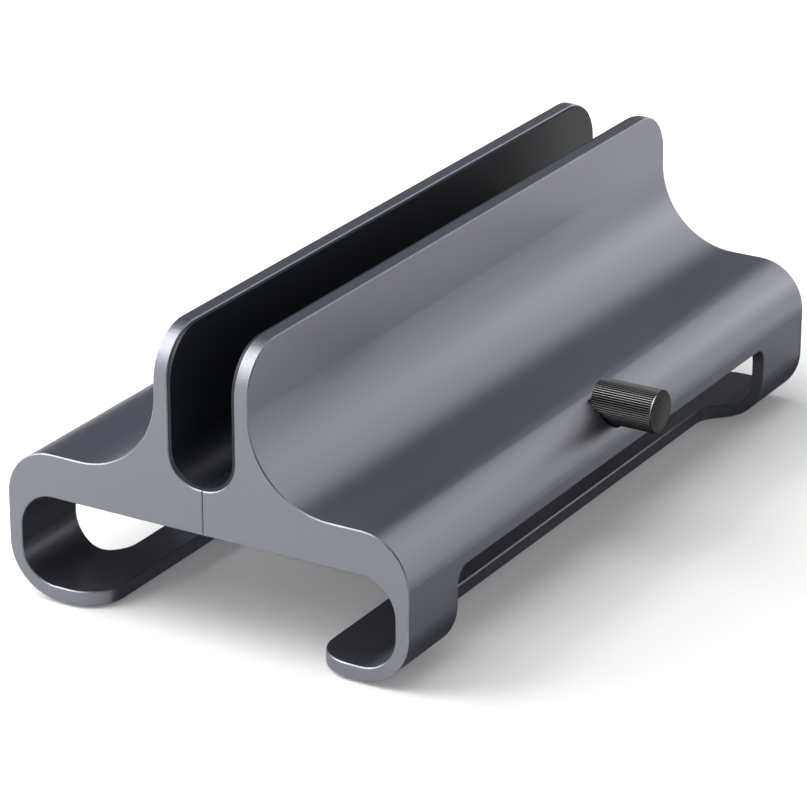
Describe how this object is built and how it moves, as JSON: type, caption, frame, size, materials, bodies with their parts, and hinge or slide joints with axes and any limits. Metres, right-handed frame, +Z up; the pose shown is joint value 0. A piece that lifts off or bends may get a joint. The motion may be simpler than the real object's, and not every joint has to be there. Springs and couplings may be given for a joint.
{
  "type": "vertical laptop stand",
  "caption": "Vertical laptop stand: a soft-lined slot between mirrored metal halves on looped feet, set to the laptop's thickness by a side knob and lead screw.",
  "frame": {"origin": "on the desk, at the middle of the whole footprint with the knob, so the seam of the halves lies 4.1 mm to the left of it", "axes": "+X across the slot towards the knob, +Y along the slot to its rear end, +Z up"},
  "size_m": [0.0942, 0.16, 0.0587],
  "materials": {
    "anodised_aluminium": "bead-blasted and anodised dark grey, satin",
    "knob_aluminium": "turned, straight-knurled and anodised dark grey",
    "liner_silicone": "soft matt black silicone",
    "foot_rubber": "matt black rubber",
    "bright_steel": "ground steel",
    "black_steel": "black oxide",
    "bush_brass": "turned brass",
    "nylon": "natural nylon"
  },
  "bodies": {
    "right_half": {"right_body": "anodised_aluminium", "right_slot_liner": "liner_silicone", "guide_rod_front": "bright_steel", "guide_rod_rear": "bright_steel", "stop_ring_front": "bright_steel", "stop_ring_rear": "bright_steel", "retaining_fork": "black_steel", "rod_set_screw_front": "black_steel", "rod_set_screw_rear": "black_steel", "foot_pad_right_front": "foot_rubber", "foot_pad_right_rear": "foot_rubber"},
    "left_half": {"left_body": "anodised_aluminium", "left_slot_liner": "liner_silicone", "rod_bush_front": "bush_brass", "rod_bush_rear": "bush_brass", "screw_nut": "bush_brass", "foot_pad_left_front": "foot_rubber", "foot_pad_left_rear": "foot_rubber"},
    "adjuster": {"adjusting_knob": "knob_aluminium", "lead_screw": "bright_steel", "thrust_washer": "nylon"}
  },
  "joints": [
    {"name": "slot_slide", "type": "slide", "parent": "right_half", "child": "left_half", "axis": [-1, 0, 0], "range_m": [0, 0.019]},
    {"name": "knob_turn", "type": "hinge", "parent": "right_half", "child": "adjuster", "pos_m": [0.04, 0, 0.02767], "axis": [1, 0, 0], "range_deg": [0, 13685]}
  ],
  "couplings": [
    {"joint": "knob_turn", "follows": "slot_slide", "rad_per_m": 12566}
  ]
}
